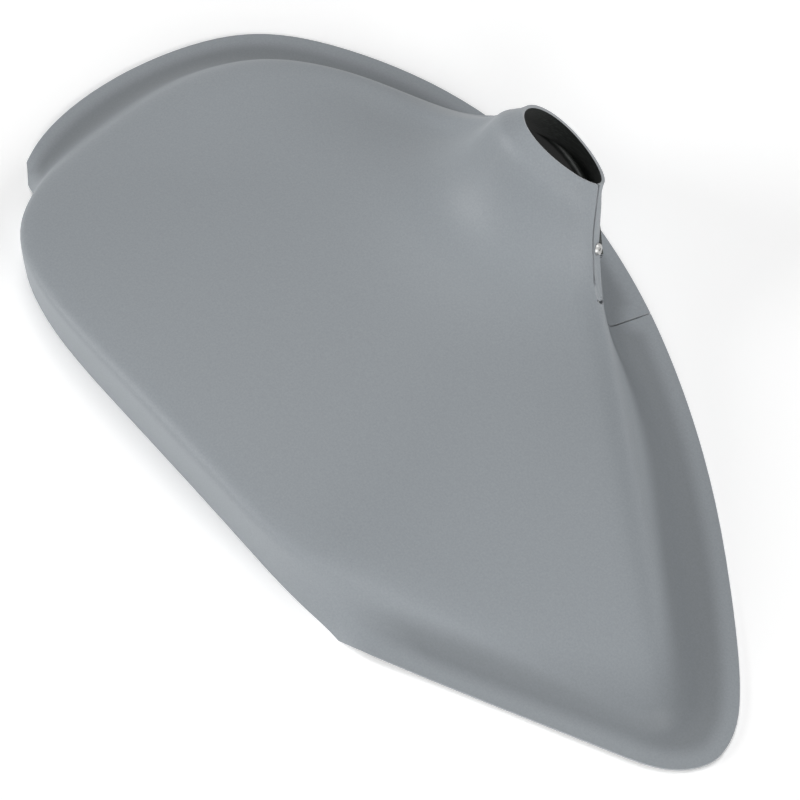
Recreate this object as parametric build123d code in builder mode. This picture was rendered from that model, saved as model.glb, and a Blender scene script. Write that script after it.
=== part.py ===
from build123d import *
import os
from collections import namedtuple
from math import cos, exp, floor, radians, sin

# Brake fairing of a light aircraft's main wheel: a blister of glass-fibre laminate that covers
# the brake on the inboard side of the wheel fairing. It lies rim down. +Z points inboard, away
# from the wheel, +X aft and +Y up as installed. All sizes are millimetres.

# The laminate and the slit that lets it open round the gear leg
wall = 2.0
slit_gap = 1.0

# The collar round the gear leg: a teardrop opening in a leaning plane
opening_length = 60.2
opening_width = 43.2
opening_point = 0.16
collar_lip = 6.0
collar_depth = 14.0
collar_flare_sides = 5.0
collar_flare_ends = 9.5
rim_centre = Vector(-22.5, 145.3, 104.0)
leg_axis = Vector(0.19, 0.63, 0.75).normalized()
leg_chord = Vector(0.914, 0.165, -0.37)

# The crowned face between the crest and the collar
crown_height = 54.0
crown_fore_aft = 0.00043
crown_up_down = 0.00040
crown_low_side = -60.0
collar_blend_reach = 90.0
face_bunching = 0.9
sweep_up_reach = 20.0
back_sweep_reach = 90.0
back_sweep_angle = 225.0
back_sweep_spread = 20.0

# Countersunk screw that closes the collar beside the slit, in a cup washer, with a nut behind
screw_thread = 3.0
screw_head = 5.4
screw_head_height = 1.2
screw_past_nut = 1.0
recess_span = 2.6
recess_width = 0.7
recess_depth = 0.8
hole_clearance = 0.2
cup_diameter = 7.6
cup_height = 1.25
cup_edge = 0.4
cup_seat = 0.2
cup_fit = 0.06
nut_across_flats = 5.5
nut_height = 2.4
nut_seat = 0.5
seat_reach = 8.0
thread_fit = 0.1
screw_around = 0.995
screw_down = 0.384

# Stations round the fairing, clockwise from the slit as seen from inboard. Each gives the crest's
# place and height, how far out the wall runs to the fold and how high the fold is, how far the
# lip runs on from there and how high it ends before it is trimmed, and the angle on the collar.
Station = namedtuple("Station", "x y crest run fold lip lip_end angle")
stations = [
    Station(41, 121, 36, 3, 5, 34, 5, 20),
    Station(71, 106, 32, 9, 5, 34, 4, 26),
    Station(102, 88, 28, 15, 5, 34, 3, 31),
    Station(135, 67, 25, 15, 5, 36, 2, 35),
    Station(168, 45, 22, 12, 5, 40, 2, 39),
    Station(203, 21, 19, 11, 5, 44, 2, 43),
    Station(233, -3, 17, 14, 5, 44, 2, 47),
    Station(251, -24, 16, 17, 4, 40, 2, 51),
    Station(232, -36, 17, 13, 5, 36, 2, 54),
    Station(186, -54, 21, 14, 5, 32, 1, 61),
    Station(126, -82, 28, 15, 6, 30, 1, 69),
    Station(90, -100, 37, 14, 10, 26, 4, 77),
    Station(57, -129, 47, 1, 24, 3, -18, 86),
    Station(-10, -130.5, 52, 0, 24, 0, -16, 100),
    Station(-95, -130.5, 50, 0, 24, 0, -16, 116),
    Station(-172, -131, 44, 0, 22, 0, -16, 132),
    Station(-229, -115, 36, 1, 18, 0, -16, 145),
    Station(-250, -80, 30, 4, 12, 2, -16, 154),
    Station(-251, -60, 29, 20, 6, 44, 2, 160),
    Station(-254, -10, 29, 24, 6, 44, 2, 168),
    Station(-254, 40, 30, 22, 6, 40, 2, 177),
    Station(-239, 86, 31, 14, 6, 40, 2, 187),
    Station(-196, 119, 32, 9, 5, 38, 2, 200),
    Station(-154, 136, 31, 10, 5, 36, 3, 201),
    Station(-121, 146, 36, 14, 5, 34, 4, 207),
    Station(-98, 150, 52, 15, 5, 34, 4, 216),
    Station(-75, 153, 76, 14, 5, 34, 4, 238),
    Station(-30, 158, 80, 8, 5, 34, 5, 275),
    Station(14, 144, 70, 5, 5, 34, 5, 340),
]

# The slit's course, as shares of the way round and down the fairing. From the collar's rim it runs
# down the ridge and over the crest, then turns sharply back to the wall and out over the flange.
collar_slit = [
    (0.007, 0),
    (-0.0005, 0.032),
    (-0.0045, 0.108),
    (0.0034, 0.231),
    (0.0104, 0.285),
    (0.0187, 0.327),
    (0.0365, 0.352),
    (0.0617, 0.368),
    (0.0696, 0.409),
]
flange_slit = [
    (0.0141, 0.533),
    (0.0022, 0.644),
    (0.0006, 0.721),
    (0.0012, 0.794),
    (-0.001, 0.84),
    (-0.0045, 0.911),
    (-0.009, 1),
]
slit_facing = Vector(0.637, -0.504, 0.585)
slit_depth = 5.0

# Middle of the trimmed moulding in the stations' plan
middle = Vector(-5.96, 24.1)

# How finely the surface is sampled before it is skinned, and the share of the way round by which
# it runs on past the slit at each end before the slit is cut
samples_around = 84
samples_down = 44
slit_overlap = 0.08

# How far the cutters reach below and above the rest plane, and where the cut that halves the skin
# runs out beyond its far side
trim_below = 5.0
halving_below = 30.0
cutter_height = 200.0
far_side_x = -130.0
far_side_y = -250.0

chord = (leg_chord - leg_axis * leg_chord.dot(leg_axis)).normalized()
across = leg_axis.cross(chord)
half_length = opening_length / 2 + wall
half_width = opening_width / 2 + wall


def spline_weights(f):
    """Uniform cubic B-spline weights of four neighbouring values, at a fraction f between two."""
    return (
        (1 - f) ** 3 / 6,
        (3 * f**3 - 6 * f**2 + 4) / 6,
        (-3 * f**3 + 3 * f**2 + 3 * f + 1) / 6,
        f**3 / 6,
    )


def round_the_fairing(field, around):
    """Smooth value of one station field at a share of the way round, 0 and 1 both the slit."""
    place = around * len(stations)
    first = floor(place) - 1
    total = 0
    for offset, weight in enumerate(spline_weights(place - floor(place))):
        index = first + offset
        turns, index = divmod(index, len(stations))
        value = getattr(stations[index], field)
        total += weight * (value + 360 * turns if field == "angle" else value)
    return total


def face_height(x, y):
    """Height of the crowned face, without the collar."""
    return crown_height - crown_fore_aft * x**2 - crown_up_down * (y - crown_low_side) ** 2


def section(around):
    """Control points of one section, from the collar's rim down to beyond the flange's edge."""
    degrees_round = round_the_fairing("angle", around)
    angle = radians(degrees_round)
    along = half_length * cos(angle)
    aside = half_width * sin(angle) * (1 - opening_point * cos(angle))
    rim = rim_centre + chord * along - across * aside
    outward = (chord * (along / half_length**2) - across * (aside / half_width**2)).normalized()
    flare = collar_flare_sides + (collar_flare_ends - collar_flare_sides) * cos(angle) ** 2
    lip = rim - leg_axis * collar_lip + outward * (flare / 4)
    root = rim - leg_axis * collar_depth + outward * flare

    crest = Vector(*(round_the_fairing(field, around) for field in ("x", "y", "crest")))
    step = 0.001
    travel = Vector(
        *(
            round_the_fairing(field, around + step) - round_the_fairing(field, around - step)
            for field in ("x", "y")
        )
    )
    away = Vector(-travel.Y, travel.X).normalized()
    run = round_the_fairing("run", around)
    fold = Vector(crest.X, crest.Y) + away * run
    fold.Z = round_the_fairing("fold", around)
    end = Vector(crest.X, crest.Y) + away * (run + round_the_fairing("lip", around))
    end.Z = round_the_fairing("lip_end", around)

    reach = Vector(crest.X - root.X, crest.Y - root.Y).length
    bunching = 1 + face_bunching * (1 - exp(-reach / collar_blend_reach))
    collar_rise = root.Z - face_height(root.X, root.Y)
    crest_rise = crest.Z - face_height(crest.X, crest.Y)
    from_back = (degrees_round % 360 - back_sweep_angle) / back_sweep_spread
    sweep_reach = sweep_up_reach + back_sweep_reach * exp(-(from_back**2))
    tail_off = exp(-reach / sweep_reach)
    lift_power = 3 - 2 * exp(-((reach / collar_blend_reach) ** 2))
    face = []
    face_rows = 6
    for row in range(1, face_rows + 1):
        share = (row / (face_rows + 1)) ** bunching
        point = root + (crest - root) * share
        sweep = (exp(-share * reach / sweep_reach) - tail_off) / (1 - tail_off)
        point.Z = face_height(point.X, point.Y) + collar_rise * sweep + crest_rise * share**lift_power
        face.append(point)
    flange = [fold + (end - fold) * share for share in (0.35, 0.67)]
    return [rim, lip, root, *face, crest, (crest + fold) / 2, fold, *flange, end]


def on_section(controls, down):
    """Point at a share of the way down a section."""
    controls = [controls[0] * 2 - controls[1], *controls, controls[-1] * 2 - controls[-2]]
    place = min(max(down, 0), 1) * (len(controls) - 3)
    first = min(floor(place), len(controls) - 4)
    weights = spline_weights(place - first)
    return sum((controls[first + k] * weights[k] for k in range(4)), Vector())


def skin_points():
    """Rows of points over the whole outside, each row once round and on past the slit."""
    extra = round(slit_overlap * samples_around)
    plain = [section(i / samples_around) for i in range(-extra, samples_around + extra + 1)]
    return [
        [on_section(controls, j / samples_down) for controls in plain]
        for j in range(samples_down + 1)
    ]


outside = Face.make_surface_from_array_of_points(skin_points(), tol=0.05, min_deg=3, max_deg=3)

# Plan of the moulding's trimmed edge, from the cut at the flange's front end and then clockwise
with BuildPart() as trim:
    with BuildSketch(Plane.XY.offset(-trim_below)):
        with BuildLine():
            front = Polyline((-275, -150), (-262, -95), (-252.5, -82), (-278, -74))
            top = Spline(
                (-287, -62), (-297, -30), (-299.5, 5), (-293, 52), (-270, 104), (-222, 142),
                (-160, 167.5), (-75, 179), (-10, 171.7), (43, 157.3), (105, 131.8), (171, 95),
                (234, 49.7), (267, 21.6), (281, 5), (287.5, -12),
            )
            toe = Spline(front @ 1, top @ 0, tangents=[(-1, 0.3), top % 0])
            tail = Spline(top @ 1, (281, -34), (249, -57), tangents=[top % 1, (-1, -0.49)])
            rear = Line(tail @ 1, (125, -117.8))
            heel = Spline(rear @ 1, (92, -129.9), (78, -131.5), tangents=[(-1, -0.49), (-1, 0)])
            foot = Polyline(heel @ 1, (78, -150), front @ 0)
        make_face()
    extrude(amount=cutter_height)

# The slit: its upper run is cut along one direction, its lower run straight down
collar_run = [on_section(section(around), down) for around, down in collar_slit]
flange_run = [on_section(section(around), down) for around, down in flange_slit]
slit_plane = Plane(collar_run[len(collar_run) // 2], z_dir=slit_facing)
above_rim = collar_run[0] * 2 - collar_run[1]
turn = slit_plane.to_local_coords(flange_run[1])
upper_run = [slit_plane.to_local_coords(point) for point in (above_rim, *collar_run)]
slit_low = min(point.Z for point in (*upper_run, turn)) - slit_depth
slit_high = max(point.Z for point in (*upper_run, turn)) + slit_depth
with BuildPart() as slit:
    with BuildSketch(slit_plane.offset(slit_low)):
        with BuildLine():
            ridge_line = Spline(*((point.X, point.Y) for point in upper_run))
            turn_line = Line(ridge_line @ 1, (turn.X, turn.Y))
        trace(line_width=slit_gap)
    extrude(amount=slit_high - slit_low)
    with BuildSketch(Plane.XY.offset(-slit_depth)):
        with BuildLine():
            flange_line = Polyline(*((point.X, point.Y) for point in flange_run))
        trace(line_width=slit_gap)
    extrude(amount=flange_run[0].Z + slit_depth)

# The screw's place beside the slit, on a plane that faces out of the collar's back
screw_spot = on_section(section(screw_around), screw_down)
step = 0.002
along_wall = on_section(section(screw_around), screw_down + step) - screw_spot
round_wall = on_section(section(screw_around + step), screw_down) - screw_spot
screw_plane = Plane(screw_spot, x_dir=along_wall, z_dir=round_wall.cross(along_wall))

# The moulded shell: the skin is halved through the collar and across the far side. Each half is
# trimmed and slit, and loses its overlap. The halves are joined again and given their wall, and
# the moulding is cut level where it rests.
far_side = Edge.make_line(
    (rim_centre.X, rim_centre.Y, -halving_below), (far_side_x, far_side_y, -halving_below)
)
halves = []
for half in outside.split(Face.extrude(far_side, (0, 0, cutter_height)), keep=Keep.BOTH):
    trimmed = max(half.intersect(trim.part), key=lambda face: face.area)
    halves.append(max((trimmed - slit.part).faces(), key=lambda face: face.area))
with BuildPart() as shell:
    add(Solid.thicken(Shell(halves), wall))
    split(bisect_by=Plane.XY, keep=Keep.TOP)


def skin_levels(radius):
    """Lowest and highest level of the skin within a radius of the screw, on its plane."""
    column = screw_plane * Cylinder(radius, 2 * seat_reach)
    patch = max(outside.intersect(column).faces(), key=lambda face: face.area)
    box = screw_plane.to_local_coords(patch).bounding_box()
    return box.min.Z, box.max.Z


# The cup washer rests on the laminate's highest point under it, the nut under its lowest
cup_level = skin_levels(cup_diameter / 2)[1] + cup_seat
head_level = cup_level + cup_height
nut_corners = nut_across_flats / 3**0.5
nut_level = skin_levels(nut_corners)[0] - wall - nut_seat - nut_height
tip_level = nut_level - screw_past_nut
cup_plane = screw_plane.offset(cup_level)
head_plane = screw_plane.offset(head_level)

with BuildPart() as drilled_shell:
    add(shell.part)
    with Locations(screw_plane.location):
        Cylinder(screw_thread / 2 + hole_clearance, 2 * seat_reach, mode=Mode.SUBTRACT)

with BuildPart() as washer:
    with BuildSketch(cup_plane):
        Circle(cup_diameter / 2)
    with BuildSketch(head_plane):
        Circle(screw_head / 2 + cup_fit + cup_edge)
    loft()
    with BuildSketch(head_plane):
        Circle(screw_head / 2 + cup_fit)
    with BuildSketch(head_plane.offset(-screw_head_height)):
        Circle(screw_thread / 2 + cup_fit)
    loft(mode=Mode.SUBTRACT)
    with BuildSketch(cup_plane):
        Circle(screw_thread / 2 + cup_fit)
    extrude(amount=cup_height, mode=Mode.SUBTRACT)

with BuildPart() as screw:
    with BuildSketch(head_plane):
        Circle(screw_head / 2)
    with BuildSketch(head_plane.offset(-screw_head_height)):
        Circle(screw_thread / 2)
    loft()
    with BuildSketch(screw_plane.offset(tip_level)):
        Circle(screw_thread / 2)
    extrude(amount=head_level - screw_head_height - tip_level)
    with BuildSketch(head_plane.offset(-recess_depth)):
        Rectangle(recess_span, recess_width)
        Rectangle(recess_width, recess_span)
    extrude(amount=recess_depth, mode=Mode.SUBTRACT)

with BuildPart() as nut:
    with BuildSketch(screw_plane.offset(nut_level)):
        RegularPolygon(nut_across_flats / 2, 6, major_radius=False)
        Circle(screw_thread / 2 + thread_fit, mode=Mode.SUBTRACT)
    extrude(amount=nut_height)

# Everything is moved so that the origin lies under the middle of the moulding, on the rest plane
to_origin = Pos(-middle.X, -middle.Y, 0)
with BuildPart() as fairing_shell:
    add(to_origin * drilled_shell.part)
with BuildPart() as cup_washer:
    add(to_origin * washer.part)
with BuildPart() as collar_screw:
    add(to_origin * screw.part)
with BuildPart() as collar_nut:
    add(to_origin * nut.part)

os.makedirs("parts", exist_ok=True)
fairing_shell.part.label = "fairing_shell"
export_step(fairing_shell.part, "parts/fairing_shell.step")
cup_washer.part.label = "cup_washer"
export_step(cup_washer.part, "parts/cup_washer.step")
collar_screw.part.label = "collar_screw"
export_step(collar_screw.part, "parts/collar_screw.step")
collar_nut.part.label = "collar_nut"
export_step(collar_nut.part, "parts/collar_nut.step")
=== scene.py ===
import math

import bmesh
import bpy
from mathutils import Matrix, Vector
from mathutils.kdtree import KDTree


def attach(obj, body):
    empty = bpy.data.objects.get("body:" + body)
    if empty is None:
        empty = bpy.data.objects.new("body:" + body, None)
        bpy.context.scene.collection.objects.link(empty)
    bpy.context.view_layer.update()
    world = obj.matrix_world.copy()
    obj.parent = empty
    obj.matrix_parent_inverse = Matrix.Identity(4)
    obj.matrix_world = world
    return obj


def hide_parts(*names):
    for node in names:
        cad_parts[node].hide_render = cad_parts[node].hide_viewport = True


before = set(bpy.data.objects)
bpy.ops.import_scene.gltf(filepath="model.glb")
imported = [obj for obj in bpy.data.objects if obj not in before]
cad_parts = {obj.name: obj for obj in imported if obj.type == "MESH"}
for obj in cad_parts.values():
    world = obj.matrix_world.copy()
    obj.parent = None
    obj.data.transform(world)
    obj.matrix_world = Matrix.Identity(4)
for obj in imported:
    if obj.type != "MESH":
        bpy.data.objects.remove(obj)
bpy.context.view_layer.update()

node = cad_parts
scene = bpy.context.scene

# Camera at the photograph's place: level, 60 degrees above the sheet and about 1.5 m away, with
# the part turned so that its tail points to the picture's lower right.
picture_turn = math.radians(49.5)
camera_tilt = math.radians(30)
camera_data = bpy.data.cameras.new("camera")
camera_data.sensor_width = 36
camera_data.lens = 113.06
camera_data.clip_end = 20
camera = bpy.data.objects.new("camera", camera_data)
scene.collection.objects.link(camera)
camera.location = (0.57626, -0.5112, 1.2990)
camera.rotation_euler = (camera_tilt, 0, picture_turn)
scene.camera = camera

# Studio: a white sheet to lie on in a pale room, under broad soft lamps. The sheet glows a little,
# as a light table does. It shows white to the camera and keeps the moulding's shadow.
sheet_width = 8
lamp_spread = math.radians(34)
# Each pair gives what lights the moulding, then what the camera sees.
room_strengths = (0.02, 1.0)
sheet_whites = (0.86, 0.97)
sheet_glows = (0.24, 0.22)
scene.view_settings.view_transform = "Standard"


def feed(tree, source, socket):
    """Join a node's output to a socket, or set the socket to a plain value."""
    if isinstance(source, bpy.types.NodeSocket):
        tree.links.new(source, socket)
    else:
        socket.default_value = source


def add_math(tree, operation, first, second):
    """Maths on two values, each a node's output or a number."""
    maths = tree.nodes.new("ShaderNodeMath")
    maths.operation = operation
    feed(tree, first, maths.inputs[0])
    feed(tree, second, maths.inputs[1])
    return maths.outputs["Value"]


def add_seen_choice(tree):
    """Mix shader: 1 lights the moulding, 2 is seen straight, mirrored or through glass."""
    path = tree.nodes.new("ShaderNodeLightPath")
    seen = path.outputs["Is Camera Ray"]
    for kind in ("Is Glossy Ray", "Is Transmission Ray"):
        seen = add_math(tree, "MAXIMUM", seen, path.outputs[kind])
    choice = tree.nodes.new("ShaderNodeMixShader")
    tree.links.new(seen, choice.inputs["Fac"])
    return choice


world = bpy.data.worlds.new("room")
scene.world = world
world.use_nodes = True
room = world.node_tree
room.nodes.clear()
room_out = room.nodes.new("ShaderNodeOutputWorld")
room_choice = add_seen_choice(room)
for choice_input, strength in enumerate(room_strengths, start=1):
    room_light = room.nodes.new("ShaderNodeBackground")
    room_light.inputs["Strength"].default_value = strength
    room.links.new(room_light.outputs["Background"], room_choice.inputs[choice_input])
room.links.new(room_choice.outputs["Shader"], room_out.inputs["Surface"])

bpy.ops.object.select_all(action="DESELECT")
bpy.ops.mesh.primitive_plane_add(size=sheet_width, location=(0, 0, 0))
sheet = bpy.context.object
sheet.name = "white_sheet"
sheet_paper = bpy.data.materials.new("white_sheet")
sheet_paper.use_nodes = True
paper = sheet_paper.node_tree
paper.nodes.clear()
paper_out = paper.nodes.new("ShaderNodeOutputMaterial")
paper_choice = add_seen_choice(paper)
for choice_input, (white, glow) in enumerate(zip(sheet_whites, sheet_glows), start=1):
    paper_diffuse = paper.nodes.new("ShaderNodeBsdfDiffuse")
    paper_diffuse.inputs["Color"].default_value = (white, white, white, 1)
    paper_glow = paper.nodes.new("ShaderNodeEmission")
    paper_glow.inputs["Strength"].default_value = glow
    paper_lit = paper.nodes.new("ShaderNodeAddShader")
    paper.links.new(paper_diffuse.outputs["BSDF"], paper_lit.inputs[0])
    paper.links.new(paper_glow.outputs["Emission"], paper_lit.inputs[1])
    paper.links.new(paper_lit.outputs["Shader"], paper_choice.inputs[choice_input])
paper.links.new(paper_choice.outputs["Shader"], paper_out.inputs["Surface"])
sheet.data.materials.append(sheet_paper)


def add_lamp(name, round_picture, height, strength):
    """Broad soft lamp, by degrees round from the picture's right and degrees above the sheet."""
    turn = picture_turn + math.radians(round_picture)
    rise = math.radians(height)
    level = math.cos(rise)
    towards = Vector((math.cos(turn) * level, math.sin(turn) * level, math.sin(rise)))
    lamp_data = bpy.data.lights.new(name, "SUN")
    lamp_data.energy = strength
    lamp_data.angle = lamp_spread
    lamp = bpy.data.objects.new(name, lamp_data)
    lamp.rotation_euler = towards.to_track_quat("Z", "Y").to_euler()
    scene.collection.objects.link(lamp)


add_lamp("top_lamp", 98, 66, 1.17)
add_lamp("left_lamp", 185, 16, 1.78)
add_lamp("front_lamp", 270, 24, 0.74)
add_lamp("front_right_lamp", 315, 25, 1.66)
add_lamp("back_lamp", 95, 12, 0.40)

# Moulding: glass-fibre laminate about 2 mm thick, laid up in a mould and trimmed with a cutter.
# Outside it is sprayed with grey primer, which dries satin with a fine grain and a faint orange
# peel.
# Its colour carries painted shade down in the folds and a painted highlight on the cut edges.
# Inside it is bare: dark resin over chopped strands.
coat_tones = ((0.268, 0.291, 0.311, 1), (0.286, 0.309, 0.330, 1))
# Lighter tones for the cut edges: a painted highlight where the thin edge catches the light.
painted_edge_highlight_tones = ((0.33, 0.35, 0.37, 1), (0.38, 0.40, 0.42, 1))
# Painted shade: a dark tone mixed into the coat down in the folds, where shade falls.
fold_shade_paint_tone = (0.040, 0.044, 0.046, 1)
fold_shade_paint_share = 0.35
speck_share = 0.16
coat_roughness = (0.46, 0.58)
peel_depth = 0.0005
grain_depth = 0.0002
fold_heights = (0.024, 0.008)
lower_wall_sides = (-0.142, -0.122)
lip_widths = (0.004, 0.015)
resin_tones = ((0.013, 0.015, 0.014, 1), (0.036, 0.041, 0.038, 1))
strand_turns = (0.3, 1.4, 2.4)
strand_scale = (90, 900, 900)
strand_reach = (0.52, 0.72)
strand_depth = 0.0004
resin_roughness = (0.38, 0.62)
weld_gap = 0.00002
crease = math.radians(35)
above_outside = Vector((0, 0, 0.070))
below_inside = Vector((0, 0, 0.020))
flange_top = 0.015
slit_foot_corners = ((0.040, 0.085), (0.062, 0.126))
edge_step = 0.0005


def new_finish(name):
    """New material, with its node tree and its shader."""
    finish = bpy.data.materials.new(name)
    finish.use_nodes = True
    return finish, finish.node_tree, finish.node_tree.nodes["Principled BSDF"]


def add_place(tree):
    """Where a point lies on the part, in metres."""
    return tree.nodes.new("ShaderNodeTexCoord").outputs["Object"]


def add_noise(tree, place, scale, detail, roughness=0.5):
    """Soft random pattern; a larger scale makes it finer."""
    noise = tree.nodes.new("ShaderNodeTexNoise")
    noise.inputs["Scale"].default_value = scale
    noise.inputs["Detail"].default_value = detail
    noise.inputs["Roughness"].default_value = roughness
    tree.links.new(place, noise.inputs["Vector"])
    return noise.outputs["Fac"]


def add_range(tree, value, source=(0, 1), target=(0, 1), curve="LINEAR"):
    """Turn one range of a value into another, held at both ends."""
    spread = tree.nodes.new("ShaderNodeMapRange")
    spread.interpolation_type = curve
    for socket, number in zip(("From Min", "From Max", "To Min", "To Max"), source + target):
        spread.inputs[socket].default_value = number
    tree.links.new(value, spread.inputs["Value"])
    return spread.outputs["Result"]


def add_tones(tree, share, low, high, blend="MIX"):
    """Mix two colours, each a node's output or a plain colour."""
    tones = tree.nodes.new("ShaderNodeMix")
    tones.data_type = "RGBA"
    tones.blend_type = blend
    for socket, source in (("Factor", share), ("A", low), ("B", high)):
        feed(tree, source, tones.inputs[socket])
    return tones.outputs["Result"]


def add_bump(tree, height, strength, distance):
    """Bump node whose Normal input is still free."""
    bump = tree.nodes.new("ShaderNodeBump")
    bump.inputs["Strength"].default_value = strength
    bump.inputs["Distance"].default_value = distance
    tree.links.new(height, bump.inputs["Height"])
    return bump


primer, coat, surface = new_finish("grey_primer")
surface.inputs["Specular IOR Level"].default_value = 0.35
place = add_place(coat)
cloud = add_noise(coat, place, 7, 3)
grain = add_noise(coat, place, 900, 5, roughness=0.6)
peel = add_noise(coat, place, 260, 2)
tone = add_tones(coat, cloud, *coat_tones)
speck = add_tones(coat, speck_share, tone, grain, blend="OVERLAY")

# Painted shade mask: darker below the crest, off the lower wall and inside the lip's edge.
heights = coat.nodes.new("ShaderNodeSeparateXYZ")
coat.links.new(place, heights.inputs["Vector"])
edge_way = coat.nodes.new("ShaderNodeAttribute")
edge_way.attribute_name = "from_edge"
below_crest = add_range(coat, heights.outputs["Z"], source=fold_heights, curve="SMOOTHSTEP")
off_lower_wall = add_range(coat, heights.outputs["Y"], source=lower_wall_sides)
inside_lip = add_range(coat, edge_way.outputs["Fac"], source=lip_widths, curve="SMOOTHSTEP")
fold_shade_paint_mask = add_math(coat, "MULTIPLY", below_crest, off_lower_wall)
fold_shade_paint_mask = add_math(coat, "MULTIPLY", fold_shade_paint_mask, inside_lip)
fold_shade_paint_mask = add_math(coat, "MULTIPLY", fold_shade_paint_mask, fold_shade_paint_share)
coat.links.new(add_tones(coat, fold_shade_paint_mask, speck, fold_shade_paint_tone), surface.inputs["Base Color"])
coat.links.new(add_range(coat, cloud, target=coat_roughness), surface.inputs["Roughness"])
peel_bump = add_bump(coat, peel, 0.05, peel_depth)
grain_bump = add_bump(coat, grain, 0.12, grain_depth)
coat.links.new(peel_bump.outputs["Normal"], grain_bump.inputs["Normal"])
coat.links.new(grain_bump.outputs["Normal"], surface.inputs["Normal"])

# The cut edges take a lighter copy of the primer, as a painted highlight.
rim_painted_highlight = primer.copy()
rim_painted_highlight.name = "rim_primer_painted_highlight"
edge_highlight_tone = rim_painted_highlight.node_tree.nodes[tone.node.name]
edge_highlight_tone.inputs["A"].default_value, edge_highlight_tone.inputs["B"].default_value = painted_edge_highlight_tones

laminate, lay, resin = new_finish("bare_laminate")
resin.inputs["Specular IOR Level"].default_value = 0.4
place = add_place(lay)
strand_layers = []
for turn in strand_turns:
    strand_place = lay.nodes.new("ShaderNodeMapping")
    strand_place.inputs["Rotation"].default_value = (0.15, 0.1, turn)
    strand_place.inputs["Scale"].default_value = strand_scale
    lay.links.new(place, strand_place.inputs["Vector"])
    strand_layers.append(add_noise(lay, strand_place.outputs["Vector"], 1, 2))
strands = add_math(lay, "MAXIMUM", strand_layers[0], strand_layers[1])
strands = add_math(lay, "MAXIMUM", strands, strand_layers[2])
strand_show = add_range(lay, strands, source=strand_reach)
lay.links.new(add_tones(lay, strand_show, *resin_tones), resin.inputs["Base Color"])
lay.links.new(add_range(lay, strands, target=resin_roughness), resin.inputs["Roughness"])
strand_bump = add_bump(lay, strands, 0.35, strand_depth)
lay.links.new(strand_bump.outputs["Normal"], resin.inputs["Normal"])

bpy.ops.object.select_all(action="DESELECT")
moulding = bpy.data.objects.new("moulding", node["fairing_shell"].data.copy())
scene.collection.objects.link(moulding)
weld = bmesh.new()
weld.from_mesh(moulding.data)
bmesh.ops.remove_doubles(weld, verts=weld.verts, dist=weld_gap)
weld.to_mesh(moulding.data)
weld.free()
moulding.data.materials.clear()
for finish in (rim_painted_highlight, primer, laminate):
    moulding.data.materials.append(finish)
moulding.select_set(True)
bpy.context.view_layer.objects.active = moulding
for finish, beside in ((primer, above_outside), (laminate, below_inside)):
    bpy.ops.object.mode_set(mode="EDIT")
    bpy.ops.mesh.select_mode(type="FACE")
    bpy.ops.mesh.select_all(action="DESELECT")
    bpy.ops.object.mode_set(mode="OBJECT")
    nearest = min(moulding.data.polygons, key=lambda face: (face.center - beside).length)
    nearest.select = True
    bpy.ops.object.mode_set(mode="EDIT")
    bpy.ops.mesh.faces_select_linked_flat(sharpness=crease)
    moulding.active_material_index = moulding.data.materials.find(finish.name)
    bpy.ops.object.material_slot_assign()
    bpy.ops.object.mode_set(mode="OBJECT")
bpy.ops.object.shade_smooth_by_angle(angle=crease)

# The primer reads how far each point is from the trimmed rim, but not from the slit's edges, to keep
# its painted fold shade off the lip.
verts = moulding.data.vertices
rim_verts = set()
for face in moulding.data.polygons:
    at_slit = all(slit_foot_corners[0][k] < face.center[k] < slit_foot_corners[1][k] for k in (0, 1))
    if face.material_index == 0 and face.center.z < flange_top and not at_slit:
        rim_verts.update(face.vertices)
rim_points = []
for edge in moulding.data.edges:
    if rim_verts.issuperset(edge.vertices):
        start, end = (verts[index].co for index in edge.vertices)
        steps = math.ceil((end - start).length / edge_step)
        rim_points += [start.lerp(end, step / steps) for step in range(steps + 1)]
rim_tree = KDTree(len(rim_points))
for index, point in enumerate(rim_points):
    rim_tree.insert(point, index)
rim_tree.balance()
from_edge = moulding.data.attributes.new("from_edge", "FLOAT", "POINT")
for vert, value in zip(verts, from_edge.data):
    value.value = rim_tree.find(vert.co)[2]
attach(moulding, "root")
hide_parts("fairing_shell")

# Screw, cup washer and nut: small zinc-plated steel fasteners that close the slit at the collar's
# back. The plating has dulled in patches and keeps some gloss.
plate_tones = ((0.42, 0.42, 0.41, 1), (0.60, 0.60, 0.59, 1))
plate_roughness = (0.26, 0.48)
plating, zinc, metal = new_finish("zinc_plating")
metal.inputs["Metallic"].default_value = 1
wear = add_noise(zinc, add_place(zinc), 900, 3)
zinc.links.new(add_range(zinc, wear, target=plate_roughness), metal.inputs["Roughness"])
zinc.links.new(add_tones(zinc, wear, *plate_tones), metal.inputs["Base Color"])
for name in ("cup_washer", "collar_screw", "collar_nut"):
    fastener = node[name]
    fastener.data.materials.clear()
    fastener.data.materials.append(plating)
